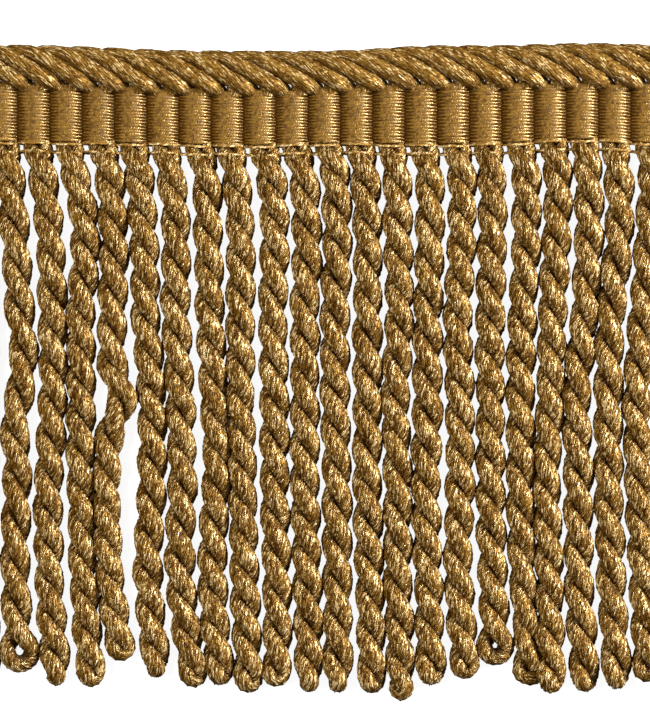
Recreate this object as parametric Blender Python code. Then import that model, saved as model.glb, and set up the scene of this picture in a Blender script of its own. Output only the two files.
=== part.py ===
"""A cut length of bullion fringe: a ribbed heading, a corded top edge and twisted cord strands.

It lies on its back. X runs along the length, Y up the fringe from the strand ends to the corded
top edge, and Z up from the surface that it lies on. Named sizes are in metres, and the two tables
are in millimetres. The heading hangs in a slight wave, and each strand has its own sway, twist and
length.
"""

import math
from typing import NamedTuple

import bmesh
import bpy
import numpy as np

MM = 0.001

# Driving dimensions
PITCH = 0.0076  # from one rib of the heading to the next, with one strand below each rib
HEADING_HEIGHT = 0.0134
CROWN_HEIGHT = 0.0094
GAP = 0.0003  # between two pieces
RIB_TOP = 0.0042  # thickness of the heading on a rib
RIB_VALLEY = 0.0028  # and between two ribs
EDGE_ROUND = 0.0007  # the heading's long edges are eased by this much
CROWN_THICKNESS = 0.0062
CROWN_RELIEF = 0.0014  # height of the crown's cords over the valleys between them
CROWN_LEAN = 3  # pitches that a crown cord runs along, from the top edge down to the heading
ROOT_STRIP = 0.0018  # height of the strip that holds the strands' roots
ROOT_STRIP_THICKNESS = 0.0034
STRAND_HALF_WIDTH = 0.00345  # the two plies side by side
STRAND_HALF_THICKNESS = 0.0020  # one ply
ROOT_WIDTH_SHARE = 0.9  # of a strand's width, where its plies lie flat inside the root strip
ROOT_THICKNESS_SHARE = 0.45  # half the plies' thickness there, of the strip's
END_LENGTH = 0.0040  # a strand's rounded end
END_LEAST_SIZE = 0.39  # share of the section left at the very end

# Mesh steps
STEPS_PER_RIB = 4
CROWN_ROWS = 12  # from the heading over the front to the top edge, a quarter pitch of lean each
CROWN_BACK_ROWS = 2  # and on round the top edge to the back
CROWN_EASE_ROWS = 2  # over which the cords rise out of the heading
STEPS_PER_HALF_TURN = 4
END_STEPS = (0.45, 0.8, 1.0)  # shares of the rounded end's length
SHARP_DEGREES = 75


class EdgeStation(NamedTuple):
    """How far the wavy edges lie above their straight lines, in millimetres."""

    along: float
    top: float
    seam: float
    hem: float


EDGE_WAVE = (
    EdgeStation(along=-83.6, top=0.7, seam=0.7, hem=0.5),
    EdgeStation(along=-52.5, top=0.0, seam=0.0, hem=0.2),
    EdgeStation(along=-33.5, top=-0.8, seam=-0.7, hem=-0.1),
    EdgeStation(along=-12.5, top=-1.0, seam=-1.2, hem=-0.5),
    EdgeStation(along=7.5, top=-0.9, seam=-0.5, hem=0.0),
    EdgeStation(along=27.5, top=0.2, seam=0.4, hem=-0.3),
    EdgeStation(along=45.0, top=0.3, seam=0.5, hem=0.0),
    EdgeStation(along=66.0, top=0.8, seam=0.5, hem=0.9),
    EdgeStation(along=83.6, top=0.4, seam=0.3, hem=-0.2),
)


class Strand(NamedTuple):
    """One strand, in millimetres. Sways are to the right of its rib, at drops below the hem.

    At the first, middle and last crossing the two plies lie side by side. A half turn lies between
    one crossing and the next, and the numbers of half turns are counted from the root.
    """

    sway_3: float
    sway_20: float
    sway_40: float
    sway_60: float
    sway_80: float
    sway_100: float
    sway_end: float
    drop: float
    first: float
    middle: float
    last: float
    middle_turns: int
    last_turns: int


SWAY_DROPS = (3.0, 20.0, 40.0, 60.0, 80.0, 100.0)

STRANDS = (
    Strand(2.5, 3.0, 3.5, 3.5, 3.5, 3.5, 4.0, 126.0, 9.0, 66.0, 122.0, 8, 15),
    Strand(1.5, 3.0, 4.0, 4.0, 3.0, 3.0, 4.5, 125.0, 9.0, 69.5, 120.0, 7, 12),
    Strand(1.5, 3.5, 4.5, 4.5, 3.5, 3.5, 5.5, 127.0, 9.5, 70.0, 124.0, 8, 14),
    Strand(1.5, 4.5, 3.5, 3.5, 3.5, 4.0, 5.5, 127.5, 8.0, 64.5, 123.0, 8, 15),
    Strand(2.0, 3.5, 3.5, 4.5, 2.0, 2.5, 5.0, 122.0, 9.5, 69.5, 118.0, 8, 14),
    Strand(1.5, 3.0, 3.5, 5.0, 5.0, 4.0, 5.5, 126.0, 8.5, 66.0, 123.5, 8, 15),
    Strand(1.5, 3.0, 3.0, 4.0, 4.5, 4.0, 7.0, 128.0, 10.0, 72.0, 123.5, 8, 14),
    Strand(2.0, 3.0, 3.5, 4.5, 5.0, 4.0, 5.5, 127.5, 12.0, 64.0, 121.5, 7, 14),
    Strand(1.5, 3.0, 3.0, 3.0, 3.5, 4.0, 5.0, 129.0, 10.5, 67.5, 124.0, 8, 15),
    Strand(2.0, 3.5, 3.0, 3.5, 3.5, 4.0, 4.0, 127.5, 9.0, 69.0, 123.5, 8, 14),
    Strand(2.0, 3.5, 3.0, 3.0, 3.0, 3.5, 3.5, 129.0, 11.0, 63.0, 124.0, 7, 14),
    Strand(2.0, 3.0, 2.5, 2.5, 3.0, 3.0, 3.0, 128.5, 6.5, 67.0, 121.0, 8, 14),
    Strand(1.5, 2.5, 2.5, 2.5, 2.5, 3.0, 3.5, 129.0, 10.0, 71.5, 124.0, 8, 14),
    Strand(1.5, 2.0, 2.5, 1.5, 2.0, 2.0, 3.0, 131.0, 9.5, 68.0, 121.5, 8, 14),
    Strand(1.5, 2.0, 1.5, 1.5, 1.0, 1.5, 2.5, 127.5, 10.0, 63.5, 119.5, 7, 13),
    Strand(1.5, 2.0, 1.0, 1.5, 1.5, 1.0, 2.0, 125.5, 8.5, 64.5, 121.5, 8, 15),
    Strand(1.0, 1.5, 1.0, 1.0, 1.0, 1.5, 2.5, 123.0, 8.5, 66.0, 122.0, 8, 15),
    Strand(1.5, 2.0, 1.0, 0.5, 0.5, 1.0, 3.0, 128.0, 8.5, 68.0, 122.0, 8, 14),
    Strand(1.5, 1.5, 0.5, 0.0, -1.0, -0.5, 0.5, 129.5, 7.5, 65.0, 124.0, 8, 15),
    Strand(1.0, 1.5, 0.5, -1.5, -1.0, -1.0, 0.5, 129.0, 6.0, 69.5, 124.0, 8, 14),
    Strand(0.5, 1.0, -1.0, -1.5, -1.5, -1.0, 0.0, 128.5, 10.5, 67.5, 118.5, 7, 13),
    Strand(1.0, 0.5, -1.0, -2.5, -2.0, -1.0, 0.0, 127.0, 7.5, 71.0, 123.0, 8, 14),
)

# Places worked out from the sizes above
HALF_LENGTH = len(STRANDS) * PITCH / 2
TOP_REACH = HEADING_HEIGHT + CROWN_HEIGHT + max(station.top for station in EDGE_WAVE) * MM
DEEPEST = max(strand.drop for strand in STRANDS) * MM
HEM_Y = (DEEPEST - TOP_REACH) / 2
SEAM_Y = HEM_Y + HEADING_HEIGHT
TOP_Y = SEAM_Y + CROWN_HEIGHT


def smooth_between(knots, values, at):
    """A value between knots, eased so that the line through them has no corner."""
    slopes = np.gradient(values, knots)
    at = min(max(at, knots[0]), knots[-1])
    i = min(int(np.searchsorted(knots, at, side="right")) - 1, len(knots) - 2)
    span = knots[i + 1] - knots[i]
    t = (at - knots[i]) / span
    start = (2 * t**3 - 3 * t**2 + 1) * values[i] + (t**3 - 2 * t**2 + t) * span * slopes[i]
    end = (3 * t**2 - 2 * t**3) * values[i + 1] + (t**3 - t**2) * span * slopes[i + 1]
    return float(start + end)


def edge_y(name, x):
    """The height of the top edge, the seam under the crown or the hem, at x along the fringe."""
    straight = {"top": TOP_Y, "seam": SEAM_Y, "hem": HEM_Y}[name]
    along = [station.along for station in EDGE_WAVE]
    wave = [getattr(station, name) for station in EDGE_WAVE]
    return straight + MM * smooth_between(along, wave, x / MM)


def rib_x(index):
    """The middle of a rib, counted from the left end."""
    return (index + 0.5) * PITCH - HALF_LENGTH


def fabric_material(name, colour, roughness):
    material = bpy.data.materials.new(name)
    material.use_nodes = True
    shader = material.node_tree.nodes["Principled BSDF"]
    shader.inputs["Base Color"].default_value = (*colour, 1.0)
    shader.inputs["Roughness"].default_value = roughness
    shader.inputs["Metallic"].default_value = 0.0
    return material


def object_from(name, shape, material):
    """A named object made from a closed bmesh, with its faces out and its round parts smooth."""
    bmesh.ops.recalc_face_normals(shape, faces=shape.faces)
    mesh = bpy.data.meshes.new(name)
    shape.to_mesh(mesh)
    shape.free()
    mesh.materials.append(material)
    mesh.shade_smooth()
    mesh.set_sharp_from_angle(angle=math.radians(SHARP_DEGREES))
    made = bpy.data.objects.new(name, mesh)
    bpy.context.collection.objects.link(made)
    return made


def bar_through(sections):
    """A closed bar through rings of points, as a bmesh of its own."""
    shape = bmesh.new()
    add_bar(shape, sections, split_ahead=False)
    return shape


def add_bar(shape, sections, split_ahead):
    """Add a closed bar with flat ends to a bmesh.

    Each side face is split from a point to the one after it in the next ring, if split_ahead is
    true, or else to the one before it.
    """
    rings = [[shape.verts.new(point) for point in section] for section in sections]
    for ring, following in zip(rings, rings[1:]):
        for i in range(len(ring)):
            j = (i + 1) % len(ring)
            if split_ahead:
                shape.faces.new((ring[i], ring[j], following[j]))
                shape.faces.new((ring[i], following[j], following[i]))
            else:
                shape.faces.new((ring[i], ring[j], following[i]))
                shape.faces.new((ring[j], following[j], following[i]))
    shape.faces.new(list(reversed(rings[0])))
    shape.faces.new(rings[-1])


def heading_section(step):
    """The heading's outline at one step along it: flat back, eased edges and a raised rib."""
    x = step * PITCH / STEPS_PER_RIB - HALF_LENGTH
    across_rib = math.sin(math.pi * step / STEPS_PER_RIB)
    front = RIB_VALLEY + (RIB_TOP - RIB_VALLEY) * abs(across_rib)
    hem = edge_y("hem", x)
    seam = edge_y("seam", x)
    return (
        (x, hem, 0.0),
        (x, hem, front - EDGE_ROUND),
        (x, hem + EDGE_ROUND, front),
        (x, seam - EDGE_ROUND, front),
        (x, seam, front - EDGE_ROUND),
        (x, seam, 0.0),
    )


def make_heading():
    """The woven band, with one rib of paired cords for each strand."""
    steps = len(STRANDS) * STEPS_PER_RIB
    shape = bar_through([heading_section(step) for step in range(steps + 1)])
    return object_from("heading", shape, fabric_material("gold_heading", (0.28, 0.16, 0.045), 0.5))


def crown_section(step):
    """The crown's outline at one step: a half round front whose cords lean one row a step."""
    x = step * PITCH / STEPS_PER_RIB - HALF_LENGTH
    bottom = edge_y("seam", x) + GAP
    top = edge_y("top", x) - CROWN_RELIEF / 2
    middle = (bottom + top) / 2
    across = (top - bottom) / 2
    half_thick = (CROWN_THICKNESS - CROWN_RELIEF) / 2
    lean_per_row = CROWN_LEAN / CROWN_ROWS
    points = [(x, bottom, 0.0)]
    for row in range(CROWN_ROWS + CROWN_BACK_ROWS + 1):
        turn = math.pi * (1 - row / CROWN_ROWS)
        cord = 0.5 + 0.5 * math.cos(2 * math.pi * (step / STEPS_PER_RIB + lean_per_row * row))
        lift = CROWN_RELIEF * cord * min(1.0, row / CROWN_EASE_ROWS)
        y = middle + (across + lift / 2 * abs(math.cos(turn))) * math.cos(turn)
        z = half_thick + (half_thick + lift) * math.sin(turn)
        points.append((x, y, max(z, 0.0)))
    return points + [(x, points[-1][1] - EDGE_ROUND, 0.0)]


def make_crown():
    """The corded top edge: cords that lean down to the right, three over each other at any place."""
    steps = len(STRANDS) * STEPS_PER_RIB
    shape = bar_through([crown_section(step) for step in range(steps + 1)])
    return object_from("crown", shape, fabric_material("gold_crown", (0.29, 0.17, 0.05), 0.5))


def strand_x(index, drop):
    """The middle of a strand at a drop below the hem, both in metres."""
    strand = STRANDS[index]
    knots = (*SWAY_DROPS, strand.drop)
    return rib_x(index) + MM * smooth_between(knots, strand[: len(knots)], drop / MM)


def drop_at(strand, half_turns):
    """The drop below the hem at which a strand has made so many half turns from its root."""
    after = (strand.last - strand.middle) / (strand.last_turns - strand.middle_turns)
    turns = (0, 1, strand.middle_turns, strand.last_turns, strand.last_turns + 2)
    drops = (ROOT_STRIP / MM, strand.first, strand.middle, strand.last, strand.last + 2 * after)
    return MM * float(np.interp(half_turns, turns, drops))


def half_room(index, drop):
    """How wide half a strand may be at a drop, so that it stays apart from its neighbours."""
    here = strand_x(index, drop)
    others = [i for i in (index - 1, index + 1) if 0 <= i < len(STRANDS)]
    return min(abs(strand_x(i, drop) - here) for i in others) / 2 - GAP / 2


def strand_ring(index, drop, half_turns, centre_z, size):
    """Four corners round a strand: two far ones on the plies, two near ones between them."""
    angle = -math.pi * half_turns
    wide = STRAND_HALF_WIDTH * size
    thin = STRAND_HALF_THICKNESS * size
    corners = (
        (wide * math.cos(angle), wide * math.sin(angle)),
        (-thin * math.sin(angle), thin * math.cos(angle)),
        (-wide * math.cos(angle), -wide * math.sin(angle)),
        (thin * math.sin(angle), -thin * math.cos(angle)),
    )
    reach = max(abs(x) for x, _ in corners)
    squeeze = min(1.0, half_room(index, drop) / reach)
    x = strand_x(index, drop)
    y = edge_y("hem", rib_x(index)) - drop
    return [(x + squeeze * dx, y, centre_z + dz) for dx, dz in corners]


def root_ring(index):
    """The flat pair of plies inside the root strip."""
    x = strand_x(index, 0.0)
    y = edge_y("hem", rib_x(index)) - GAP - ROOT_STRIP / 2
    wide = STRAND_HALF_WIDTH * ROOT_WIDTH_SHARE
    thin = ROOT_STRIP_THICKNESS * ROOT_THICKNESS_SHARE
    z = ROOT_STRIP_THICKNESS / 2
    return [(x + wide, y, z), (x, y, z + thin), (x - wide, y, z), (x, y, z - thin)]


def strand_rings(index):
    """A strand from its root to its rounded end, level on the surface that it lies on."""
    strand = STRANDS[index]
    rings = [root_ring(index)]
    round_from = strand.drop * MM - END_LENGTH
    step = 1
    while drop_at(strand, step / STEPS_PER_HALF_TURN) < round_from:
        half_turns = step / STEPS_PER_HALF_TURN
        rise = min(1.0, 2 * half_turns)
        centre_z = ROOT_STRIP_THICKNESS / 2 * (1 - rise) + STRAND_HALF_WIDTH * rise
        drop = drop_at(strand, half_turns)
        rings.append(strand_ring(index, drop, half_turns, centre_z, 1.0))
        step += 1
    half_turns = (step - 1) / STEPS_PER_HALF_TURN
    for share in END_STEPS:
        size = max(math.sqrt(1 - share**2), END_LEAST_SIZE)
        drop = round_from + share * END_LENGTH
        rings.append(strand_ring(index, drop, half_turns, STRAND_HALF_WIDTH, size))
    return rings


def root_strip_section(step):
    """The root strip's outline, just under the hem."""
    x = step * PITCH / 2 - HALF_LENGTH
    top = edge_y("hem", x) - GAP
    bottom = top - ROOT_STRIP
    return (
        (x, bottom, 0.0),
        (x, bottom, ROOT_STRIP_THICKNESS),
        (x, top, ROOT_STRIP_THICKNESS),
        (x, top, 0.0),
    )


def make_skirt():
    """The strands, apart from each other and fused at their roots into one narrow strip."""
    gold = fabric_material("gold_bullion", (0.30, 0.18, 0.055), 0.45)
    sections = [root_strip_section(step) for step in range(2 * len(STRANDS) + 1)]
    strip = object_from("bullion_skirt", bar_through(sections), gold)
    shape = bmesh.new()
    for index in range(len(STRANDS)):
        add_bar(shape, strand_rings(index), split_ahead=True)
    strands = object_from("strand_bodies", shape, gold)
    strands.hide_render = True
    strands.display_type = "WIRE"
    union = strip.modifiers.new("join_strands", "BOOLEAN")
    union.operation = "UNION"
    union.object = strands
    return strip


def main():
    for thing in list(bpy.data.objects):
        bpy.data.objects.remove(thing, do_unlink=True)
    make_heading()
    make_crown()
    make_skirt()


main()
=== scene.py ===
import math
from typing import NamedTuple

import bpy
import numpy as np
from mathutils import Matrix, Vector


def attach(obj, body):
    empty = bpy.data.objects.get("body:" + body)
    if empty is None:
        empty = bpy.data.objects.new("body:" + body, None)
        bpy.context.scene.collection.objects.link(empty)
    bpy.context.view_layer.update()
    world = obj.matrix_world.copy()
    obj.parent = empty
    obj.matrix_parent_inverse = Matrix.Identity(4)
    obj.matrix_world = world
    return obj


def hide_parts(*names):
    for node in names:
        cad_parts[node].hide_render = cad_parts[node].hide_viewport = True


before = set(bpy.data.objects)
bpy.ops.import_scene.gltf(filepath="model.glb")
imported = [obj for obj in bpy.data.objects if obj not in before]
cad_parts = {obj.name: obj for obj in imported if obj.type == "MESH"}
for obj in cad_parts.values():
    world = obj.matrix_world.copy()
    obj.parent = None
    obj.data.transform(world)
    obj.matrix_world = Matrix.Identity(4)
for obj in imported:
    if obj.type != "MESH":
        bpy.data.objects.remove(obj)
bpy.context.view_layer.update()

bl_info = {
    "name": "Bullion fringe",
    "version": (1, 0, 0),
    "blender": (4, 5, 0),
    "location": "View3D > Sidebar > Fringe",
    "description": "Makes a cut length of bullion fringe from twisted cord and woven thread",
    "category": "Add Mesh",
}

MM = 0.001

# Sizes that the frame's solids were made to
PITCH = 0.0076
HEADING_HEIGHT = 0.0134
CROWN_HEIGHT = 0.0094
RIB_TOP = 0.0042
ROOT_STRIP = 0.0018


class EdgeStation(NamedTuple):
    """How far the wavy edges lie above their straight lines, in millimetres."""

    along: float
    top: float
    seam: float
    hem: float


EDGE_WAVE = (
    EdgeStation(along=-83.6, top=0.7, seam=0.7, hem=0.5),
    EdgeStation(along=-52.5, top=0.0, seam=0.0, hem=0.2),
    EdgeStation(along=-33.5, top=-0.8, seam=-0.7, hem=-0.1),
    EdgeStation(along=-12.5, top=-1.0, seam=-1.2, hem=-0.5),
    EdgeStation(along=7.5, top=-0.9, seam=-0.5, hem=0.0),
    EdgeStation(along=27.5, top=0.2, seam=0.4, hem=-0.3),
    EdgeStation(along=45.0, top=0.3, seam=0.5, hem=0.0),
    EdgeStation(along=66.0, top=0.8, seam=0.5, hem=0.9),
    EdgeStation(along=83.6, top=0.4, seam=0.3, hem=-0.2),
)


class Strand(NamedTuple):
    """One bullion, in millimetres. Sways are to the right of its rib, at drops below the hem.

    At the first, middle and last crossing the two plies lie side by side. A half turn lies between
    one crossing and the next, and the numbers of half turns are counted from the root.
    """

    sway_3: float
    sway_20: float
    sway_40: float
    sway_60: float
    sway_80: float
    sway_100: float
    sway_end: float
    drop: float
    first: float
    middle: float
    last: float
    middle_turns: int
    last_turns: int


SWAY_DROPS = (4.5, 20.0, 40.0, 60.0, 80.0, 100.0)

STRANDS = (
    Strand(2.5, 3.0, 3.5, 3.5, 3.5, 3.5, 4.0, 126.0, 9.0, 66.0, 122.0, 8, 15),
    Strand(1.5, 3.0, 4.2, 4.3, 3.7, 3.2, 4.5, 125.0, 9.0, 69.5, 119.0, 7, 12),
    Strand(1.5, 3.5, 4.5, 4.5, 3.5, 3.5, 5.6, 128.0, 9.5, 70.0, 120.0, 8, 14),
    Strand(1.5, 4.5, 3.5, 3.5, 3.5, 4.0, 6.2, 128.3, 8.0, 64.5, 123.0, 8, 15),
    Strand(2.0, 3.5, 3.3, 3.0, 1.9, 2.5, 5.6, 122.0, 9.5, 69.5, 118.0, 8, 14),
    Strand(1.5, 3.0, 3.5, 5.0, 5.0, 4.0, 6.4, 126.0, 8.5, 66.0, 118.5, 8, 14),
    Strand(1.5, 3.0, 3.0, 4.0, 4.5, 4.0, 7.7, 128.0, 10.0, 72.0, 123.5, 8, 14),
    Strand(2.0, 3.0, 3.5, 4.5, 5.0, 4.0, 6.0, 127.5, 12.0, 64.0, 121.5, 7, 14),
    Strand(1.5, 3.0, 3.0, 3.0, 3.5, 4.0, 5.0, 129.0, 10.5, 67.5, 124.0, 8, 15),
    Strand(2.0, 3.5, 3.0, 3.5, 3.5, 4.0, 4.0, 127.5, 9.0, 69.0, 123.5, 8, 14),
    Strand(2.0, 3.5, 3.0, 3.0, 3.0, 3.5, 4.0, 129.0, 11.0, 63.0, 121.0, 7, 14),
    Strand(2.0, 3.0, 2.5, 2.5, 3.0, 3.0, 3.2, 129.3, 6.5, 67.0, 121.0, 8, 14),
    Strand(1.5, 2.5, 2.5, 2.5, 2.5, 3.0, 3.7, 129.6, 10.0, 71.5, 124.0, 8, 14),
    Strand(1.5, 2.0, 2.5, 1.5, 2.0, 2.0, 3.0, 131.0, 9.5, 68.0, 121.5, 8, 14),
    Strand(1.5, 2.0, 1.5, 1.5, 1.0, 1.5, 2.5, 127.5, 10.0, 63.5, 121.0, 7, 14),
    Strand(1.5, 2.0, 1.0, 1.5, 1.5, 1.0, 3.1, 126.0, 8.5, 64.5, 121.5, 8, 15),
    Strand(1.0, 1.5, 1.0, 1.0, 1.0, 1.5, 2.5, 123.0, 8.5, 66.0, 118.0, 8, 14),
    Strand(1.5, 2.0, 1.0, 0.5, 0.5, 1.0, 3.0, 128.0, 8.5, 68.0, 124.0, 8, 14),
    Strand(1.5, 1.5, 0.5, 0.0, -1.0, -0.5, 0.5, 130.3, 7.5, 65.0, 124.0, 8, 15),
    Strand(1.0, 1.5, 0.5, -1.5, -1.0, -1.0, 0.6, 130.1, 6.0, 69.5, 124.0, 8, 14),
    Strand(0.5, 1.0, -1.0, -1.5, -1.5, -1.0, 0.6, 129.4, 10.5, 67.5, 121.5, 7, 13),
    Strand(1.0, 0.5, -1.0, -2.5, -2.0, -1.0, 0.0, 127.0, 7.5, 71.0, 123.0, 8, 14),
)

# The bullions whose loop is left a little open, and the radius of its middle line
OPEN_LOOPS = {1: 0.0031, 14: 0.0021, 16: 0.0027, 17: 0.0023, 20: 0.0025}

# How much wider each ply of a bullion is where it is pressed against the other
PRESS = 0.07


class Swing(NamedTuple):
    """Where a bullion swings aside or lies over the edge of the next one, in millimetres."""

    row: int
    drop: float
    reach: float
    aside: float
    lift: float


SWINGS = (
    Swing(row=1, drop=49.0, reach=6.5, aside=0.9, lift=0.0),
    Swing(row=1, drop=67.5, reach=5.0, aside=-1.2, lift=0.0),
    Swing(row=4, drop=60.5, reach=4.8, aside=2.7, lift=1.8),
    Swing(row=18, drop=126.0, reach=12.0, aside=-0.3, lift=1.4),
)

# How far a crown cord runs to the left over the front, and how high its back leg lies
CROWN_RUN = 0.0207
LEG_Z = 0.0022

# How far below the hem each of the threads lies that bind the roots
BINDER_DROPS = (0.0002, 0.0005, 0.0022, 0.0025)


class Lamp(NamedTuple):
    """A square soft light, in degrees from straight above and round from the right, and metres."""

    name: str
    tilt: float
    heading: float
    distance: float
    size: float
    power: float
    shines: bool


LAMPS = (
    Lamp("key", tilt=59.0, heading=18.0, distance=1.1, size=0.30, power=27.0, shines=True),
    Lamp("fill", tilt=44.0, heading=168.0, distance=1.3, size=1.0, power=24.0, shines=False),
)

# Places worked out from the sizes above
HALF_LENGTH = len(STRANDS) * PITCH / 2
TOP_REACH = HEADING_HEIGHT + CROWN_HEIGHT + max(station.top for station in EDGE_WAVE) * MM
DEEPEST = max(strand.drop for strand in STRANDS) * MM
HEM_Y = (DEEPEST - TOP_REACH) / 2
SEAM_Y = HEM_Y + HEADING_HEIGHT
TOP_Y = SEAM_Y + CROWN_HEIGHT


class FringeSizes(bpy.types.PropertyGroup):
    """The sizes of the cord and the thread."""

    cord_radius: bpy.props.FloatProperty(
        name="Cord radius", description="Half the thickness of the cord", default=0.0021, unit="LENGTH"
    )
    ply_offset: bpy.props.FloatProperty(
        name="Ply offset",
        description="From the middle of a bullion to the middle of each of its two plies",
        default=0.0017,
        unit="LENGTH",
    )
    yarns: bpy.props.IntProperty(
        name="Yarns", description="Number of yarns laid round the cord", default=24
    )
    cord_lead: bpy.props.FloatProperty(
        name="Lay length",
        description="Length of a bullion's cord in which its yarns go once round",
        default=0.0130,
        unit="LENGTH",
    )
    crown_lead: bpy.props.FloatProperty(
        name="Crown lay length",
        description="Length of a crown cord in which its yarns go once round",
        default=0.0360,
        unit="LENGTH",
    )
    groove_depth: bpy.props.FloatProperty(
        name="Groove depth",
        description="Depth of the grooves between yarns, as a share of the cord's radius",
        default=0.11,
        subtype="FACTOR",
    )
    unevenness: bpy.props.FloatProperty(
        name="Unevenness",
        description="How far the yarns of a bullion stand up and sink, from the most to the least",
        default=0.0009,
        unit="LENGTH",
    )
    cord_step: bpy.props.FloatProperty(
        name="Cord step", description="Length of one mesh step along the cord", default=0.00090,
        unit="LENGTH",
    )
    thread_radius: bpy.props.FloatProperty(
        name="Thread radius", description="Half the thickness of the heading's thread",
        default=0.00021, unit="LENGTH",
    )
    thread_rows: bpy.props.IntProperty(
        name="Thread rows", description="Rows of thread that show on each rib", default=18
    )


class FringeColours(bpy.types.PropertyGroup):
    """The colours of the gold yarn and the floor."""

    # Used both for the yarn's own dark flecks and as painted shade in grooves, crevices and valleys
    # and on the cords under the threads.
    deep: bpy.props.FloatVectorProperty(
        name="Groove brown", description="Colour deep between the yarns", subtype="COLOR", size=3,
        default=(0.056, 0.017, 0.0008),
    )
    amber: bpy.props.FloatVectorProperty(
        name="Antique gold", description="Colour of most of the yarn", subtype="COLOR", size=3,
        default=(0.30, 0.152, 0.022),
    )
    # Painted glints: this light gold stands in for the shine of the yarn catching the light.
    glint_cream: bpy.props.FloatVectorProperty(
        name="Pale gold", description="Colour of the bright flecks on the yarn", subtype="COLOR",
        size=3, default=(0.82, 0.62, 0.31),
    )
    floor: bpy.props.FloatVectorProperty(
        name="Floor", description="Colour of the plain floor", subtype="COLOR", size=3,
        default=(0.35, 0.35, 0.35),
    )


def smooth_between(knots, values, at):
    """Values between knots, eased so that the line through them has no corner."""
    knots = np.asarray(knots, float)
    values = np.asarray(values, float)
    slopes = np.gradient(values, knots)
    at = np.clip(at, knots[0], knots[-1])
    i = np.clip(np.searchsorted(knots, at, side="right") - 1, 0, len(knots) - 2)
    span = knots[i + 1] - knots[i]
    t = (at - knots[i]) / span
    start = (2 * t**3 - 3 * t**2 + 1) * values[i] + (t**3 - 2 * t**2 + t) * span * slopes[i]
    end = (3 * t**2 - 2 * t**3) * values[i + 1] + (t**3 - t**2) * span * slopes[i + 1]
    return start + end


def edge_y(name, x):
    """The height of the top edge, the seam under the crown or the hem, at x along the fringe."""
    straight = {"top": TOP_Y, "seam": SEAM_Y, "hem": HEM_Y}[name]
    along = [station.along for station in EDGE_WAVE]
    wave = [getattr(station, name) for station in EDGE_WAVE]
    return straight + MM * smooth_between(along, wave, np.asarray(x) / MM)


def rib_x(index):
    """The middle of a rib, counted from the left end."""
    return (index + 0.5) * PITCH - HALF_LENGTH


def strand_x(index, drop):
    """The middle of a bullion at drops below the hem, all in metres."""
    strand = STRANDS[index]
    knots = (0.0, *SWAY_DROPS, strand.drop)
    sways = (0.35 * strand.sway_3, *strand[: len(knots) - 1])
    return rib_x(index) + MM * smooth_between(knots, sways, np.asarray(drop) / MM)


def smoothed(values, passes):
    """A line of values or points with its corners eased and its ends kept."""
    values = np.array(values, float)
    for _ in range(passes):
        values[1:-1] = (values[:-2] + 2 * values[1:-1] + values[2:]) / 4
    return values


def even_steps(points, step, *others):
    """A path laid out again in equal steps, with what goes along with its points."""
    lengths = np.concatenate([[0.0], np.cumsum(np.linalg.norm(np.diff(points, axis=0), axis=1))])
    count = max(2, int(round(lengths[-1] / step)))
    at = np.linspace(0.0, lengths[-1], count + 1)
    laid = []
    for values in (points, *others):
        laid.append(np.column_stack([np.interp(at, lengths, column) for column in values.T]))
    return laid


def wander(rng, lengths, wavelength, amount):
    """A slow random drift along a path, from a seeded generator."""
    knots = np.arange(-wavelength, lengths[-1] + 2 * wavelength, wavelength)
    return smooth_between(knots, rng.uniform(-amount, amount, len(knots)), lengths)


def half_turns_at(strand, drop):
    """How many half turns a bullion has made at drops below the hem."""
    after = (strand.last - strand.middle) / (strand.last_turns - strand.middle_turns)
    turns = (0, 0, 1, strand.middle_turns, strand.last_turns, strand.last_turns + 2)
    root = ROOT_STRIP / MM
    drops = (-20.0, root, strand.first, strand.middle, strand.last, strand.last + 2 * after)
    return np.interp(np.asarray(drop) / MM, drops, turns)


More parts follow.
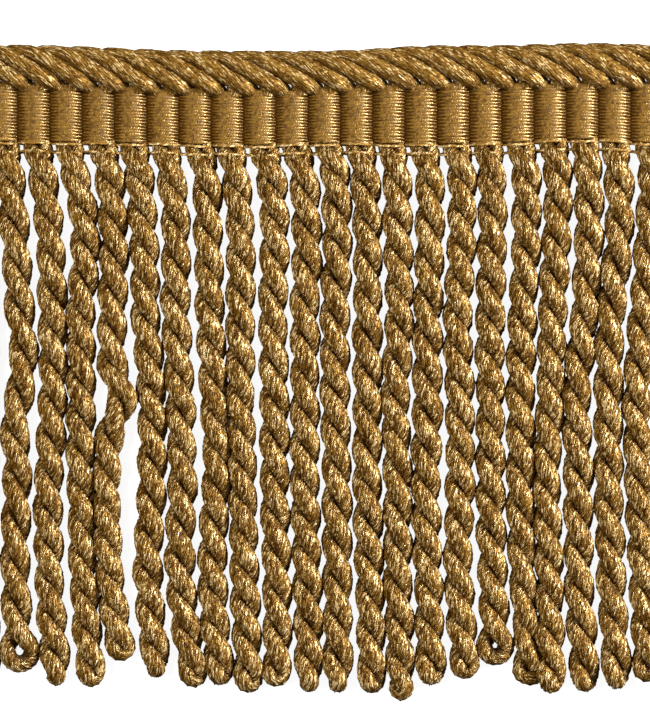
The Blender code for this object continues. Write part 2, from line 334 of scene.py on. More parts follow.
def bullion_path(index, sizes):
    """The middle line of a bullion's cord: down one ply, round the loop and up the other."""
    strand = STRANDS[index]
    radius = sizes.cord_radius
    loop = OPEN_LOOPS.get(index, 0.93 * sizes.ply_offset)
    turn_drop = strand.drop * MM - radius - loop
    fine = 0.0003
    drops = np.arange(-0.0002, turn_drop + fine, fine)
    turns = smoothed(half_turns_at(strand, drops), 40)
    middle_x = strand_x(index, drops)
    others = [i for i in (index - 1, index + 1) if 0 <= i < len(STRANDS)]
    room = np.min([np.abs(strand_x(i, drops) - middle_x) for i in others], axis=0) / 2
    lift = np.zeros_like(drops)
    for swing in [swing for swing in SWINGS if swing.row == index]:
        share = np.exp(-(((drops / MM - swing.drop) / swing.reach) ** 2))
        middle_x = middle_x + swing.aside * MM * share
        lift = lift + swing.lift * MM * share
        room = room + 0.001 * share
    ease = 0.004
    root_share = np.clip((ease - drops) / ease, 0.0, 1.0)
    offset = sizes.ply_offset * (1 - 0.06 * root_share)
    near_end = np.clip((drops - turn_drop + ease) / ease, 0.0, 1.0)
    offset = offset + (loop - sizes.ply_offset) * near_end**2 * (3 - 2 * near_end)
    angle = -math.pi * turns
    side = offset * np.cos(angle)
    most = np.maximum(room + 0.0005 - radius, 0.0010)
    most = most + np.maximum(loop - sizes.ply_offset, 0.0) * near_end
    side = np.sign(side) * np.minimum(np.abs(side), most)
    rise = offset * np.sin(angle)
    raised = np.clip(2 * turns, 0.0, 1.0)
    raised = raised**2 * (3 - 2 * raised)
    middle_z = radius + sizes.ply_offset * raised - 0.0003 * root_share + lift
    hem = float(edge_y("hem", rib_x(index)))
    middle = np.column_stack([middle_x, hem - drops, middle_z])
    offsets = np.column_stack([side, np.zeros_like(side), rise])
    arc = np.linspace(0.0, math.pi, 22)[1:-1, None]
    sideways = offsets[-1] / np.linalg.norm(offsets[-1]) * loop
    down = np.array([0.0, -loop, 0.0])
    bend = middle[-1] + np.cos(arc) * sideways + np.sin(arc) * down
    points = np.vstack([middle + offsets, bend, (middle - offsets)[::-1]])
    centres = np.vstack([middle, np.repeat(middle[-1:], len(bend), axis=0), middle[::-1]])
    points = smoothed(points, 12)
    thickness = 1 - 0.22 * np.clip((0.003 - drops) / 0.003, 0.0, 1.0)
    pressed = PRESS * raised * (1 - 0.6 * near_end)
    carried = np.column_stack([thickness, pressed])
    carried = np.vstack([carried, np.repeat(carried[-1:], len(bend), axis=0), carried[::-1]])
    points, centres, carried = even_steps(points, sizes.cord_step, centres, carried)
    rng = np.random.default_rng(100 + index)
    along = np.arange(len(points)) * sizes.cord_step
    points[:, 0] += wander(rng, along, 0.006, 0.00018)
    points[:, 2] += wander(rng, along, 0.006, 0.00012)
    points[:, 2] = np.maximum(points[:, 2], radius * carried[:, 0] + 0.00015)
    inward = centres - points
    inward /= np.maximum(np.linalg.norm(inward, axis=1), 1e-6)[:, None]
    return {
        "points": points,
        "inward": inward,
        "thickness": carried[:, 0],
        "pressed": carried[:, 1],
        "start": 0.9 * index,
    }


def crown_path(index, sizes):
    """The middle line of a crown cord: out of a rib, up to the left, over the edge and down."""
    radius = sizes.cord_radius
    foot_x = rib_x(index) - 0.0014
    share = np.linspace(0.0, 1.0, 60)
    x = foot_x - CROWN_RUN * share
    low = edge_y("seam", foot_x) - 0.0002
    high = edge_y("top", x) - 0.75 * radius
    straight, level = 0.57, 0.80
    bent = np.clip((share - straight) / (level - straight), 0.0, 1.0)
    climbed = np.minimum(share, straight) + (level - straight) * (bent - bent**2 / 2)
    y = low + (high - low) * climbed / climbed[-1]
    lift = np.clip(share / 0.15, 0.0, 1.0)
    fall = np.clip((share - 0.52) / 0.48, 0.0, 1.0)
    z = LEG_Z + 0.0019 * lift**2 * (3 - 2 * lift) - 0.0018 * fall**1.5
    front = np.column_stack([x, y, z])
    foot = np.array([[0.0, -0.0014, 0.0017], [0.0, -0.0006, 0.0019]]) + (foot_x + 0.0003, low, 0.0)
    top = y[-1]
    leg_x = rib_x(index - 3) + 0.0019
    seam = edge_y("seam", leg_x)
    back = np.array(
        [
            [(x[-1] + leg_x) / 2, top - 0.0006, LEG_Z],
            [leg_x, top - 0.0026, LEG_Z],
            [leg_x, (top + seam) / 2, LEG_Z],
            [leg_x, seam + 0.0004, LEG_Z],
            [leg_x, seam - 0.0012, LEG_Z],
        ]
    )
    points = np.vstack([foot, front, back])
    points, = even_steps(points, 0.0004)
    points = smoothed(points, 8)
    points, = even_steps(points, sizes.cord_step)
    from_foot = np.arange(len(points)) * sizes.cord_step
    thickness = 0.76 + 0.26 * np.clip((from_foot - 0.0010) / 0.0034, 0.0, 1.0) ** 0.7
    squeezed = np.clip((foot_x - points[:, 0]) / CROWN_RUN / 0.25 - 2.0, 0.0, 1.0)
    keep = np.abs(points[:, 0]) <= HALF_LENGTH
    return {
        "points": points[keep],
        "thickness": thickness[keep],
        "spread": np.column_stack([0 * squeezed, -0.25 * squeezed, 0 * squeezed])[keep],
        # Painted shade: the cords are darkened where they roll over the top edge.
        "painted_shade_depth": 0.35 * squeezed[keep],
        # On the crown this only aims the painted shade, at the lower side of each cord.
        "inward": (0.0, -0.62, -0.36),
        "start": 0.7 * index,
    }


def weave_height(x, row):
    """How high a heading thread lies at x: over one rib and under the next, by turns."""
    place = (np.asarray(x) + HALF_LENGTH) / PITCH
    rib = np.floor(place)
    across = np.abs(np.sin(math.pi * place))
    side = np.where((rib + row) % 2 == 0, 1.0, -1.0)
    return side * across**0.7, across


def add_node(tree, kind, inputs=(), **settings):
    """Add a node with its settings, and link or set its inputs."""
    node = tree.nodes.new(kind)
    for name, value in settings.items():
        setattr(node, name, value)
    for key, value in dict(inputs).items():
        if isinstance(value, bpy.types.NodeSocket):
            tree.links.new(value, node.inputs[key])
        else:
            node.inputs[key].default_value = value
    return node


def maths(tree, operation, *values):
    """A Math node, from its values or the sockets linked to it."""
    return add_node(tree, "ShaderNodeMath", dict(enumerate(values)), operation=operation).outputs[0]


def vector_maths(tree, operation, *values):
    """A Vector Math node. Its result is a number for a dot product or a length."""
    node = add_node(tree, "ShaderNodeVectorMath", dict(enumerate(values)), operation=operation)
    return node.outputs["Value" if operation in ("DOT_PRODUCT", "LENGTH") else "Vector"]


def scaled(tree, vector, scale):
    """A vector made longer or shorter by a number."""
    inputs = {"Vector": vector, "Scale": scale}
    return add_node(tree, "ShaderNodeVectorMath", inputs, operation="SCALE").outputs["Vector"]


def named_input(tree, name, kind, default=None):
    """Add a named input to a geometry tree."""
    socket = tree.interface.new_socket(name=name, in_out="INPUT", socket_type=kind)
    if default is not None:
        socket.default_value = default


def attribute(tree, name, kind):
    """A named attribute of the geometry."""
    return add_node(tree, "GeometryNodeInputNamedAttribute", {"Name": name}, data_type=kind).outputs[0]


def stored(tree, geometry, name, kind, value):
    """The geometry with a value stored on its points under a name."""
    inputs = {"Geometry": geometry, "Name": name, "Value": value}
    node = add_node(
        tree, "GeometryNodeStoreNamedAttribute", inputs, data_type=kind, domain="POINT"
    )
    return node.outputs["Geometry"]


def cord_tree():
    """Geometry nodes that lay yarns round every path in a mesh of paths, as a twisted cord.

    Each point of a path holds where the cord's pattern starts, the way to what the cord lies
    against, how hard it is pressed against that, how far it is spread and how much painted shade it
    takes. Each point of the cord keeps its place on the same cord laid straight, its height between
    groove and ridge, and its painted shade: how far it faces inwards, plus the painted shade its path
    holds.
    """
    tree = bpy.data.node_groups.new("twisted_cord", "GeometryNodeTree")
    named_input(tree, "Paths", "NodeSocketGeometry")
    named_input(tree, "Radius", "NodeSocketFloat", 0.0019)
    named_input(tree, "Yarns", "NodeSocketInt", 11)
    named_input(tree, "Steps per Yarn", "NodeSocketInt", 4)
    named_input(tree, "Groove Depth", "NodeSocketFloat", 0.2)
    named_input(tree, "Turns per Metre", "NodeSocketFloat", 60.0)
    named_input(tree, "Unevenness", "NodeSocketFloat", 0.0)
    named_input(tree, "Material", "NodeSocketMaterial")
    tree.interface.new_socket(name="Cord", in_out="OUTPUT", socket_type="NodeSocketGeometry")
    given = tree.nodes.new("NodeGroupInput").outputs
    curve = add_node(tree, "GeometryNodeMeshToCurve", {"Mesh": given["Paths"]}).outputs["Curve"]
    curve = add_node(
        tree, "GeometryNodeSetCurveNormal", {"Curve": curve}, mode="MINIMUM_TWIST"
    ).outputs["Curve"]
    length = tree.nodes.new("GeometryNodeSplineParameter").outputs["Length"]
    turned = maths(tree, "MULTIPLY", length, given["Turns per Metre"])
    tilt = maths(tree, "MULTIPLY", turned, 2 * math.pi)
    curve = add_node(tree, "GeometryNodeSetCurveTilt", {"Curve": curve, "Tilt": tilt}).outputs["Curve"]
    along = maths(tree, "ADD", length, attribute(tree, "pattern_start", "FLOAT"))
    curve = stored(tree, curve, "along", "FLOAT", along)
    position = tree.nodes.new("GeometryNodeInputPosition").outputs[0]
    curve = stored(tree, curve, "core", "FLOAT_VECTOR", position)
    count = maths(tree, "MULTIPLY", given["Yarns"], given["Steps per Yarn"])
    ring = add_node(
        tree, "GeometryNodeCurvePrimitiveCircle", {"Resolution": count, "Radius": 1.0}, mode="RADIUS"
    ).outputs["Curve"]
    ring = stored(tree, ring, "round", "FLOAT_VECTOR", position)
    index = tree.nodes.new("GeometryNodeInputIndex").outputs[0]
    step = maths(tree, "DIVIDE", index, given["Steps per Yarn"])
    ridge = maths(tree, "ABSOLUTE", maths(tree, "SINE", maths(tree, "MULTIPLY", step, math.pi)))
    ring = stored(tree, ring, "ridge", "FLOAT", ridge)
    below = maths(tree, "SUBTRACT", 1.0, attribute(tree, "ridge", "FLOAT"))
    share = maths(tree, "SUBTRACT", 1.0, maths(tree, "MULTIPLY", below, given["Groove Depth"]))
    reach = maths(tree, "MULTIPLY", share, given["Radius"])
    ring = add_node(
        tree, "GeometryNodeSetPosition", {"Geometry": ring, "Position": scaled(tree, position, reach)}
    ).outputs["Geometry"]
    sweep = {"Curve": curve, "Profile Curve": ring, "Scale": attribute(tree, "thickness", "FLOAT")}
    sweep["Fill Caps"] = True
    mesh = add_node(tree, "GeometryNodeCurveToMesh", sweep).outputs["Mesh"]
    outward = vector_maths(tree, "SUBTRACT", position, attribute(tree, "core", "FLOAT_VECTOR"))
    straight_out = vector_maths(tree, "NORMALIZE", outward)
    facing = attribute(tree, "inward", "FLOAT_VECTOR")
    # Painted shade: how far the surface faces what the cord lies against, plus the path's painted
    # shade, stored for the material to darken the colour by.
    inward = vector_maths(tree, "DOT_PRODUCT", straight_out, facing)
    inward = maths(tree, "ADD", inward, attribute(tree, "painted_shade_depth", "FLOAT"))
    mesh = stored(tree, mesh, "painted_crevice_shade", "FLOAT", inward)
    on_ring = scaled(tree, attribute(tree, "round", "FLOAT_VECTOR"), given["Radius"])
    lengthways = add_node(
        tree, "ShaderNodeCombineXYZ", {"Z": attribute(tree, "along", "FLOAT")}
    ).outputs["Vector"]
    place = vector_maths(tree, "ADD", on_ring, lengthways)
    mesh = stored(tree, mesh, "cord_place", "FLOAT_VECTOR", place)
    spread = vector_maths(tree, "MULTIPLY", outward, attribute(tree, "spread", "FLOAT_VECTOR"))
    through = maths(tree, "MULTIPLY", vector_maths(tree, "DOT_PRODUCT", outward, facing), -1.6)
    squeezed = vector_maths(tree, "ADD", outward, scaled(tree, facing, through))
    flattened = scaled(tree, squeezed, attribute(tree, "pressed", "FLOAT"))
    moved = vector_maths(tree, "ADD", spread, flattened)
    lumps = {"Vector": vector_maths(tree, "MULTIPLY", place, (1500.0, 1500.0, 800.0)), "Scale": 1.0}
    lumps = add_node(tree, "ShaderNodeTexNoise", {**lumps, "Detail": 1.0}).outputs[0]
    push = maths(tree, "MULTIPLY", maths(tree, "SUBTRACT", lumps, 0.5), given["Unevenness"])
    moved = vector_maths(tree, "ADD", moved, scaled(tree, straight_out, push))
    mesh = add_node(
        tree, "GeometryNodeSetPosition", {"Geometry": mesh, "Offset": moved}
    ).outputs["Geometry"]
    mesh = add_node(tree, "GeometryNodeSetShadeSmooth", {"Geometry": mesh}).outputs["Geometry"]
    mesh = add_node(tree, "GeometryNodeRealizeInstances", {"Geometry": mesh}).outputs["Geometry"]
    mesh = add_node(
        tree, "GeometryNodeSetMaterial", {"Geometry": mesh, "Material": given["Material"]}
    ).outputs["Geometry"]
    finish = tree.nodes.new("NodeGroupOutput")
    tree.links.new(mesh, finish.inputs["Cord"])
    return tree


def paths_object(name, paths):
    """An object whose mesh holds one chain of edges for each path, with what its points carry.

    A path is a dictionary: points, and if need be inward, spread, pressed, thickness,
    painted_shade_depth (how much painted shade it takes) and start.
    """
    points = np.vstack([path["points"] for path in paths])
    edges = []
    first = 0
    for path in paths:
        count = len(path["points"])
        edges.extend((first + i, first + i + 1) for i in range(count - 1))
        first += count
    mesh = bpy.data.meshes.new(name)
    mesh.from_pydata([tuple(point) for point in points], edges, [])
    carried = (
        ("inward", "FLOAT_VECTOR", "vector", np.zeros(3)),
        ("spread", "FLOAT_VECTOR", "vector", np.zeros(3)),
        ("thickness", "FLOAT", "value", 1.0),
        ("painted_shade_depth", "FLOAT", "value", 0.0),
        ("pressed", "FLOAT", "value", 0.0),
        ("start", "FLOAT", "value", 0.0),
    )
    for key, kind, field, plain in carried:
        values = []
        for path in paths:
            given = path.get(key, plain)
            shape = (len(path["points"]), 3) if kind == "FLOAT_VECTOR" else (len(path["points"]),)
            values.append(np.broadcast_to(given, shape))
        stored_name = "pattern_start" if key == "start" else key
        layer = mesh.attributes.new(stored_name, kind, "POINT")
        layer.data.foreach_set(field, np.concatenate(values).astype(np.float32).ravel())
    made = bpy.data.objects.new(name, mesh)
    bpy.context.scene.collection.objects.link(made)
    return made


def apply_tree(made, tree, values):
    """Run a geometry tree on an object, and keep its result as a plain closed mesh."""
    modifier = made.modifiers.new("make", "NODES")
    modifier.node_group = tree
    for item in tree.interface.items_tree:
        if item.item_type == "SOCKET" and item.in_out == "INPUT" and item.name in values:
            modifier[item.identifier] = values[item.name]
    depsgraph = bpy.context.evaluated_depsgraph_get()
    evaluated = made.evaluated_get(depsgraph)
    mesh = bpy.data.meshes.new_from_object(evaluated, depsgraph=depsgraph)
    made.modifiers.remove(modifier)
    mesh.name = made.name
    made.data = mesh
    used_up = ("round", "along", "core", "inward", "spread", "thickness", "painted_shade_depth", "pressed")
    for name in (*used_up, "pattern_start"):
        layer = mesh.attributes.get(name)
        if layer is not None:
            mesh.attributes.remove(layer)
    if signed_volume(mesh) < 0:
        mesh.flip_normals()
    return made


def signed_volume(mesh):
    """The volume inside a closed mesh, negative if its faces point inwards."""
    mesh.calc_loop_triangles()
    places = np.empty(len(mesh.vertices) * 3, np.float32)
    mesh.vertices.foreach_get("co", places)
    corners = np.empty(len(mesh.loop_triangles) * 3, np.int32)
    mesh.loop_triangles.foreach_get("vertices", corners)
    a, b, c = places.reshape(-1, 3).astype(float)[corners.reshape(-1, 3)].transpose(1, 0, 2)
    return float(np.einsum("ij,ij->i", a, np.cross(b, c)).sum() / 6)


def dress(piece, slot, *nodes):
    """Hang a piece on the root body and hide the solids it stands for; the slot is not used."""
    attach(piece, "root")
    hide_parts(*nodes)


class Finish(NamedTuple):
    """How one kind of gold yarn looks. Its grain, from 0 to 1, lies in flecks along each yarn, with
    painted shade in the grooves between yarns and painted glints where it is highest.
    """

    yarns: int
    fleck_width: float
    fleck_length: float
    dark_below: float
    amber_above: float
    glint_above: float
    roughness: float
    metallic: float
    gloss: float
    relief: float


FINISHES = {
    "gold_bullion_cord": Finish(34, 0.00038, 0.00105, 0.34, 0.67, 0.68, 0.40, 0.3, 0.13, 0.00016),
    "gold_crown_cord": Finish(44, 0.00030, 0.00140, 0.27, 0.66, 0.71, 0.42, 0.3, 0.12, 0.00012),
    "gold_heading_thread": Finish(3, 0.00034, 0.00060, 0.13, 0.78, 0.93, 0.30, 0.30, 0.60, 0.00003),
    "gold_binding_thread": Finish(3, 0.00040, 0.00090, 0.00, 0.45, 0.62, 0.42, 0.2, 0.18, 0.00006),
}


def gold_material(name, colours):
    """Lustrous twisted yarn: amber with darker random flecks, painted glints of light gold along the
    yarn, and painted shade in the grooves between yarns and in the crevices between plies.
    """
    found = bpy.data.materials.get(name)
    if found is not None:
        return found
    finish = FINISHES[name]
    material = bpy.data.materials.new(name)
    material.use_nodes = True
    tree = material.node_tree
    shader = tree.nodes["Principled BSDF"]

    def read(attribute_name, output):
        node = add_node(tree, "ShaderNodeAttribute", attribute_name=attribute_name)
        return node.outputs[output]

    def noise(place, finer_across, finer_along, detail):
        across = finer_across / finish.fleck_width
        scale = (across, across, finer_along / finish.fleck_length)
        stretched = vector_maths(tree, "MULTIPLY", place, scale)
        inputs = {"Vector": stretched, "Scale": 1.0, "Detail": detail, "Roughness": 0.55}
        return add_node(tree, "ShaderNodeTexNoise", inputs).outputs[0]

    def ranged(value, low, high, to_low=0.0, to_high=1.0):
        node = add_node(
            tree,
            "ShaderNodeMapRange",
            {"Value": value, "From Min": low, "From Max": high, "To Min": to_low, "To Max": to_high},
            interpolation_type="SMOOTHSTEP",
        )
        return node.outputs[0]

    def times(first, second):
        return maths(tree, "MULTIPLY", first, second)

    def blended(share, first, second):
        node = add_node(tree, "ShaderNodeMix", data_type="RGBA")
        for key, value in (("Factor_Float", share), ("A_Color", first), ("B_Color", second)):
            socket = next(s for s in node.inputs if s.identifier == key)
            if isinstance(value, bpy.types.NodeSocket):
                tree.links.new(value, socket)
            else:
                socket.default_value = (*value, 1.0)
        return next(s for s in node.outputs if s.identifier == "Result_Color")

    def plus(first, second):
        return maths(tree, "ADD", first, second)

    place = read("cord_place", "Vector")
    ridge = read("ridge", "Fac")
    # Painted shade: the colour is darkened, and the painted glints dimmed, where the surface faces
    # into the crevice between plies or cords.
    crevice_shade = ranged(read("painted_crevice_shade", "Fac"), -0.15, 0.75)
    fibres = ranged(noise(place, 1.7, 2.2, 2.0), 0.3, 0.7)
    wobble = noise(place, 0.3, 0.5, 1.0)
    drift = noise(place, 0.12, 0.12, 1.0)
    part = add_node(tree, "ShaderNodeSeparateXYZ", {"Vector": place}).outputs
    turn = times(maths(tree, "ARCTAN2", part["Y"], part["X"]), finish.yarns / (2 * math.pi))
    yarn = maths(tree, "FLOOR", turn)
    start = add_node(
        tree, "ShaderNodeTexWhiteNoise", {"W": yarn}, noise_dimensions="1D"
    ).outputs["Value"]
    run = plus(times(part["Z"], 1 / finish.fleck_length), times(start, 17.0))
    run = plus(run, plus(times(wobble, 1.6), times(maths(tree, "FRACT", turn), 0.45)))
    fleck_at = add_node(
        tree, "ShaderNodeCombineXYZ", {"X": yarn, "Y": maths(tree, "FLOOR", run)}
    ).outputs["Vector"]
    tone = add_node(tree, "ShaderNodeTexWhiteNoise", {"Vector": fleck_at}).outputs["Value"]
    body = ranged(maths(tree, "PINGPONG", run, 0.5), 0.0, 0.16)
    # The ridge term is painted shade: the grooves between yarns come out darker, with fewer glints.
    grain_and_groove_shade = plus(times(tone, 0.45), times(fibres, 0.30))
    grain_and_groove_shade = plus(grain_and_groove_shade, plus(times(body, 0.13), times(ridge, 0.12)))
    shade = ranged(grain_and_groove_shade, finish.dark_below, finish.amber_above)
    shade = times(shade, ranged(drift, 0.35, 0.65, 0.85, 1.0))
    # Painted shade in the crevices.
    shade = times(shade, maths(tree, "MULTIPLY_ADD", crevice_shade, -0.9, 1.0))
    colour = blended(shade, colours.deep, colours.amber)
    # Painted glints: light gold flecks standing in for highlights on the shiny yarn.
    painted_glint = ranged(grain_and_groove_shade, finish.glint_above, finish.glint_above + 0.10)
    painted_glint_share = times(painted_glint, maths(tree, "MULTIPLY_ADD", crevice_shade, -0.75, 0.92))
    colour = blended(painted_glint_share, colour, colours.glint_cream)
    tree.links.new(colour, shader.inputs["Base Color"])
    rough = ranged(grain_and_groove_shade, 0.3, 0.8, finish.roughness + 0.14, finish.roughness - 0.06)
    tree.links.new(rough, shader.inputs["Roughness"])
    height = plus(times(fibres, 0.4), body)
    bump = add_node(
        tree, "ShaderNodeBump", {"Height": height, "Strength": 1.0, "Distance": finish.relief}
    ).outputs["Normal"]
    tree.links.new(bump, shader.inputs["Normal"])
    shader.inputs["Metallic"].default_value = finish.metallic
    shader.inputs["IOR"].default_value = 2.0
    shader.inputs["Specular IOR Level"].default_value = finish.gloss
    shader.inputs["Specular Tint"].default_value = (1.0, 0.84, 0.50, 1.0)
    return material


class FRINGE_OT_bullions(bpy.types.Operator):
    """Make the bullions, each a cord folded in two and twisted on itself"""

    bl_idname = "fringe.make_bullions"
    bl_label = "Make Bullions"

    def execute(self, context):
        sizes = context.scene.fringe_sizes
        tree = bpy.data.node_groups.get("twisted_cord") or cord_tree()
        values = {
            "Radius": sizes.cord_radius,
            "Yarns": sizes.yarns,
            "Steps per Yarn": 2,
            "Groove Depth": sizes.groove_depth,
            "Turns per Metre": 1 / sizes.cord_lead,
            "Unevenness": sizes.unevenness,
            "Material": gold_material("gold_bullion_cord", context.scene.fringe_colours),
        }
        for index in range(len(STRANDS)):
            path = bullion_path(index, sizes)
            piece = apply_tree(paths_object(f"bullion_{index + 1:02d}", [path]), tree, values)
            dress(piece, "bullion_cord", "bullion_skirt")
        return {"FINISHED"}


class FRINGE_OT_crown(bpy.types.Operator):
    """Make the crown: the cords that lean over the top edge"""

    bl_idname = "fringe.make_crown"
    bl_label = "Make Crown"

    def execute(self, context):
        sizes = context.scene.fringe_sizes
        tree = bpy.data.node_groups.get("twisted_cord") or cord_tree()
        values = {
            "Radius": sizes.cord_radius,
            "Yarns": sizes.yarns,
            "Steps per Yarn": 2,
            "Groove Depth": sizes.groove_depth,
            "Turns per Metre": 1 / sizes.crown_lead,
            "Unevenness": 0.5 * sizes.unevenness,
            "Material": gold_material("gold_crown_cord", context.scene.fringe_colours),
        }
        paths = [crown_path(index, sizes) for index in range(len(STRANDS) + 3)]
        paths = [path for path in paths if len(path["points"]) >= 4]
        piece = apply_tree(paths_object("crown_cords", paths), tree, values)
        dress(piece, "crown_cord", "crown")
        return {"FINISHED"}


def rib_core():
    """The closed body under the heading's threads, ribbed on both sides."""
    steps = len(STRANDS) * 14
    x = np.linspace(-HALF_LENGTH, HALF_LENGTH, steps + 1)
    _, across = weave_height(x, 0)
    swell = 0.00012 + 0.00148 * across**1.25
    hem = edge_y("hem", x)
    seam = edge_y("seam", x)
    shares = np.linspace(0.0, 1.0, 5)
    rows = []
    for side, upwards in ((1, shares), (-1, shares[::-1])):
        for share in upwards:
            z = RIB_TOP / 2 + side * swell
            rows.append(np.column_stack([x, hem + share * (seam - hem), z]))
    count = len(x)
    faces = []
    for j in range(len(rows)):
        here, there = j * count, (j + 1) % len(rows) * count
        faces.extend((here + i, here + i + 1, there + i + 1, there + i) for i in range(steps))
    faces.append(tuple(j * count for j in range(len(rows))))
    faces.append(tuple(j * count + steps for j in reversed(range(len(rows)))))
    mesh = bpy.data.meshes.new("heading_ribs")
    mesh.from_pydata([tuple(point) for row in rows for point in row], [], faces)
    if signed_volume(mesh) < 0:
        mesh.flip_normals()
    mesh.shade_smooth()
    made = bpy.data.objects.new("heading_ribs", mesh)
    bpy.context.scene.collection.objects.link(made)
    return made


def heading_thread(share, drop, row, sizes, rng):
    """One thread of the heading, spread out flat where it lies on a rib.

    It lies at a share of the way from the hem to the seam, or at a drop below the hem.
    """
    place = np.linspace(0.0, len(STRANDS), len(STRANDS) * 10 + 1)
    x = place * PITCH - HALF_LENGTH
    height, across = weave_height(x, row)
    hem = edge_y("hem", x) - drop
    rise = share * (edge_y("seam", x) - hem) if share else 0.0
    y = hem + rise + rng.uniform(-0.00009, 0.00009, len(x))
    z = RIB_TOP / 2 + (RIB_TOP / 2 - sizes.thread_radius) * height
    z = z + rng.uniform(-0.00003, 0.00003, len(x))
    width = HEADING_HEIGHT / (2 * sizes.thread_rows)
    over = np.clip((across - 0.36) / 0.45, 0.0, 1.0)
    spread = (0.85 + 2.05 * over) * width / (2 * sizes.thread_radius) - 1
    flat = np.column_stack([np.zeros_like(x), spread, -0.55 * over])
    # Painted shade: the threads are darkened in the valleys between the ribs.
    painted_shade_depth = np.clip((0.32 - across) / 0.34, 0.0, 0.25)
    points = np.column_stack([x, y, z])
    return {"points": points, "spread": flat, "painted_shade_depth": painted_shade_depth, "start": 0.31 * row}


class FRINGE_OT_heading(bpy.types.Operator):
    """Make the heading: its ribs, the threads woven over them and the two rows that bind the roots"""

    bl_idname = "fringe.make_heading"
    bl_label = "Make Heading"

    def execute(self, context):
        sizes = context.scene.fringe_sizes
        tree = bpy.data.node_groups.get("twisted_cord") or cord_tree()
        colours = context.scene.fringe_colours
        values = {
            "Radius": sizes.thread_radius,
            "Yarns": 3,
            "Steps per Yarn": 2,
            "Groove Depth": 0.0,
            "Turns per Metre": 0.0,
            "Material": gold_material("gold_heading_thread", colours),
        }
        rng = np.random.default_rng(7)
        count = 2 * sizes.thread_rows
        threads = [
            heading_thread((row + 0.5) / count, 0.0, row, sizes, rng) for row in range(count)
        ]
        woven = apply_tree(paths_object("heading_threads", threads), tree, values)
        binders = []
        for row, drop in enumerate(BINDER_DROPS):
            path = heading_thread(0.0, drop, row, sizes, rng)
            path["spread"] = path["spread"] * 0.2
            raised = np.maximum(path["points"][:, 2] / (RIB_TOP / 2) - 1, 0.0)
            path["points"][:, 2] += 0.0002 + 0.1 * drop + 0.3 * drop * raised
            binders.append(path)
        values["Radius"] = 1.2 * sizes.thread_radius
        values["Material"] = gold_material("gold_binding_thread", colours)
        binding = apply_tree(paths_object("root_binding_threads", binders), tree, values)
        ribs = rib_core()
        ribs.data.materials.append(core_material(colours))
        dress(ribs, "heading_yarn", "heading")
        dress(woven, "heading_yarn", "heading")
        dress(binding, "heading_yarn", "bullion_skirt")
        return {"FINISHED"}


def core_material(colours):
    """The cords under the threads, seen only between them and coloured dark as painted shade."""
    material = bpy.data.materials.new("gold_rib_cord_in_painted_shade")
    material.use_nodes = True
    tree = material.node_tree
    shader = tree.nodes["Principled BSDF"]
    place = tree.nodes.new("ShaderNodeTexCoord").outputs["Object"]
    stretched = vector_maths(tree, "MULTIPLY", place, (2400.0, 700.0, 2400.0))
    noise = add_node(tree, "ShaderNodeTexNoise", {"Vector": stretched, "Scale": 1.0, "Detail": 2.0})
    ramp = tree.nodes.new("ShaderNodeValToRGB")
    tree.links.new(noise.outputs[0], ramp.inputs[0])
    # Painted shade: the gold cords get only the groove brown and a darkened amber.
    ramp.color_ramp.elements[0].color = (*colours.deep, 1.0)
    ramp.color_ramp.elements[1].color = (*[0.3 * c for c in colours.amber], 1.0)
    ramp.color_ramp.elements[0].position = 0.4
    ramp.color_ramp.elements[1].position = 0.75
    tree.links.new(ramp.outputs[0], shader.inputs["Base Color"])
    shader.inputs["Roughness"].default_value = 0.8
    shader.inputs["Specular IOR Level"].default_value = 0.1
    return material


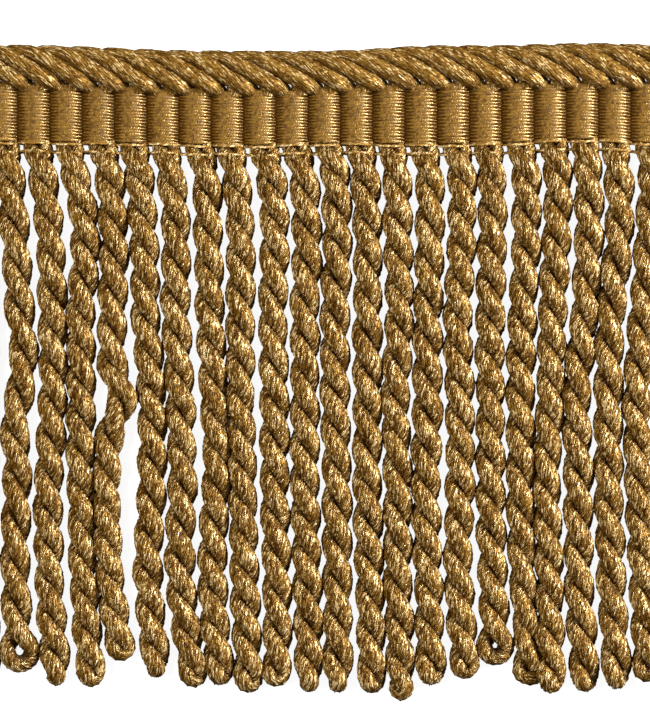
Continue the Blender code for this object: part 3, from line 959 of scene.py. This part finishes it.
class FRINGE_OT_stage(bpy.types.Operator):
    """Make the floor, the lights and the camera"""

    bl_idname = "fringe.make_stage"
    bl_label = "Make Stage"

    def execute(self, context):
        scene = context.scene
        mesh = bpy.data.meshes.new("floor")
        reach = 3.0
        sides = ((-reach, -reach), (reach, -reach), (reach, reach), (-reach, reach))
        mesh.from_pydata([(x, y, -0.0001) for x, y in sides], [], [(0, 1, 2, 3)])
        floor = bpy.data.objects.new("floor", mesh)
        scene.collection.objects.link(floor)
        material = bpy.data.materials.new("plain_floor")
        material.use_nodes = True
        shader = material.node_tree.nodes["Principled BSDF"]
        shader.inputs["Base Color"].default_value = (*scene.fringe_colours.floor, 1.0)
        shader.inputs["Roughness"].default_value = 0.9
        shader.inputs["Specular IOR Level"].default_value = 0.0
        shader.inputs["Emission Color"].default_value = (1.0, 1.0, 1.0, 1.0)
        shader.inputs["Emission Strength"].default_value = 0.92
        mesh.materials.append(material)
        floor.visible_diffuse = False
        floor.visible_glossy = False
        for lamp in LAMPS:
            self.hang(scene, lamp)
        world = bpy.data.worlds.new("room")
        scene.world = world
        world.use_nodes = True
        sky = world.node_tree.nodes["Background"]
        sky.inputs["Color"].default_value = (1.0, 1.0, 1.0, 1.0)
        sky.inputs["Strength"].default_value = 0.16
        data = bpy.data.cameras.new("camera")
        camera = bpy.data.objects.new("camera", data)
        scene.collection.objects.link(camera)
        distance = 1.5
        view_height = 722 * 7.6 / 32.3 * MM
        data.sensor_width = 36.0
        data.lens = data.sensor_width * distance / view_height
        data.clip_start = 0.01
        data.clip_end = 20.0
        camera.location = (0.00392, 0.00241, distance + 0.004)
        scene.camera = camera
        scene.view_settings.view_transform = "Standard"
        return {"FINISHED"}

    def hang(self, scene, lamp):
        """Hang a light so that it faces the middle of the fringe."""
        data = bpy.data.lights.new(lamp.name, "AREA")
        data.shape = "SQUARE"
        data.size = lamp.size
        data.energy = lamp.power
        hung = bpy.data.objects.new(lamp.name, data)
        scene.collection.objects.link(hung)
        tilt, heading = math.radians(lamp.tilt), math.radians(lamp.heading)
        away = Vector(
            (math.sin(tilt) * math.cos(heading), math.sin(tilt) * math.sin(heading), math.cos(tilt))
        )
        hung.location = away * lamp.distance
        hung.rotation_euler = away.to_track_quat("Z", "Y").to_euler()
        hung.visible_glossy = lamp.shines


class FRINGE_PT_panel(bpy.types.Panel):
    """Lists the sizes, the colours and the operators"""

    bl_idname = "FRINGE_PT_panel"
    bl_label = "Bullion Fringe"
    bl_space_type = "VIEW_3D"
    bl_region_type = "UI"
    bl_category = "Fringe"

    def draw(self, context):
        layout = self.layout
        for group in (context.scene.fringe_sizes, context.scene.fringe_colours):
            column = layout.column()
            for name in group.bl_rna.properties.keys():
                if name not in ("rna_type", "name"):
                    column.prop(group, name)
        for operator in OPERATORS:
            layout.operator(operator.bl_idname)


OPERATORS = (FRINGE_OT_bullions, FRINGE_OT_crown, FRINGE_OT_heading, FRINGE_OT_stage)
CLASSES = (FringeSizes, FringeColours, *OPERATORS, FRINGE_PT_panel)


def register():
    """Add the classes, and the sizes and colours of each scene."""
    for made in CLASSES:
        bpy.utils.register_class(made)
    bpy.types.Scene.fringe_sizes = bpy.props.PointerProperty(type=FringeSizes)
    bpy.types.Scene.fringe_colours = bpy.props.PointerProperty(type=FringeColours)


def unregister():
    """Take away what register added."""
    del bpy.types.Scene.fringe_colours
    del bpy.types.Scene.fringe_sizes
    for made in reversed(CLASSES):
        bpy.utils.unregister_class(made)


def main():
    """Make the whole fringe and its stage."""
    register()
    bpy.ops.fringe.make_bullions()
    bpy.ops.fringe.make_crown()
    bpy.ops.fringe.make_heading()
    bpy.ops.fringe.make_stage()


if __name__ == "__main__":
    main()
